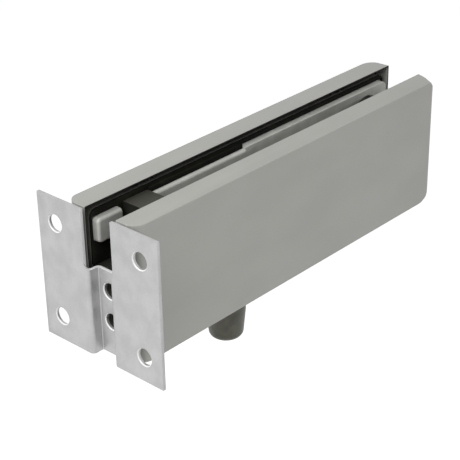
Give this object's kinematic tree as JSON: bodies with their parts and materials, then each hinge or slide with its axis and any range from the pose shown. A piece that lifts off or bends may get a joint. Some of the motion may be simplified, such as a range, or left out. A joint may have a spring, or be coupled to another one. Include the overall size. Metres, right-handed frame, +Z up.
{
  "type": "glass patch fitting",
  "caption": "Patch fitting that clamps an over-panel's glass edge between jaws under clip-on covers, with a folded wall plate at one end and a pivot pin below.",
  "frame": {"origin": "middle of the wall plate's four holes, on the face that meets the wall", "axes": "+X from the wall along the glass, +Y across its thickness to the rear cover, +Z up, towards the open side of the glass slot"},
  "size_m": [0.1678, 0.0564, 0.0734],
  "materials": {
    "bracket_sheet": "matt sheet",
    "cover_aluminium": "satin anodised",
    "jaw_aluminium": "milled",
    "gasket_rubber": "matt black",
    "block_black": "matt black",
    "dark_plastic": "dark grey",
    "pin_steel": "turned",
    "screw_steel": "blackened",
    "spring_steel": "bright"
  },
  "bodies": {
    "body": {"wall_bracket": "bracket_sheet", "pivot_block": "block_black", "pivot_pin": "pin_steel", "pin_lock_screw": "screw_steel", "rear_jaw": "jaw_aluminium", "rear_gasket": "gasket_rubber", "block_screws": "screw_steel", "clamp_inserts": "screw_steel", "stop_block": "dark_plastic", "screw_sleeve": "dark_plastic", "guide_dowels": "pin_steel", "rear_cover_clips": "spring_steel"},
    "front_clamp": {"front_jaw": "jaw_aluminium", "front_gasket": "gasket_rubber", "clamp_washers": "screw_steel", "front_cover_clips": "spring_steel"},
    "front_shell": {"front_cover": "cover_aluminium"},
    "rear_shell": {"rear_cover": "cover_aluminium"},
    "left_screw": {"left_clamp_screw": "screw_steel"},
    "right_screw": {"right_clamp_screw": "screw_steel"}
  },
  "joints": [
    {"name": "left_screw_turn", "type": "hinge", "parent": "front_clamp", "child": "left_screw", "pos_m": [0.0257, 0, 0.01005], "axis": [0, 1, 0], "range_deg": [-432, 288]},
    {"name": "right_screw_turn", "type": "hinge", "parent": "front_clamp", "child": "right_screw", "pos_m": [0.1505, 0, 0.01005], "axis": [0, 1, 0], "range_deg": [-432, 288]},
    {"name": "clamp_slide", "type": "slide", "parent": "body", "child": "front_clamp", "axis": [0, 1, 0], "range_m": [-0.0012, 0.0008]},
    {"name": "front_cover_pull", "type": "slide", "parent": "front_clamp", "child": "front_shell", "axis": [0, -1, 0], "range_m": [0, 0.012]},
    {"name": "rear_cover_pull", "type": "slide", "parent": "body", "child": "rear_shell", "axis": [0, 1, 0], "range_m": [0, 0.012]}
  ],
  "couplings": [
    {"joint": "left_screw_turn", "follows": "clamp_slide", "rad_per_m": 6283.2},
    {"joint": "right_screw_turn", "follows": "clamp_slide", "rad_per_m": 6283.2}
  ]
}
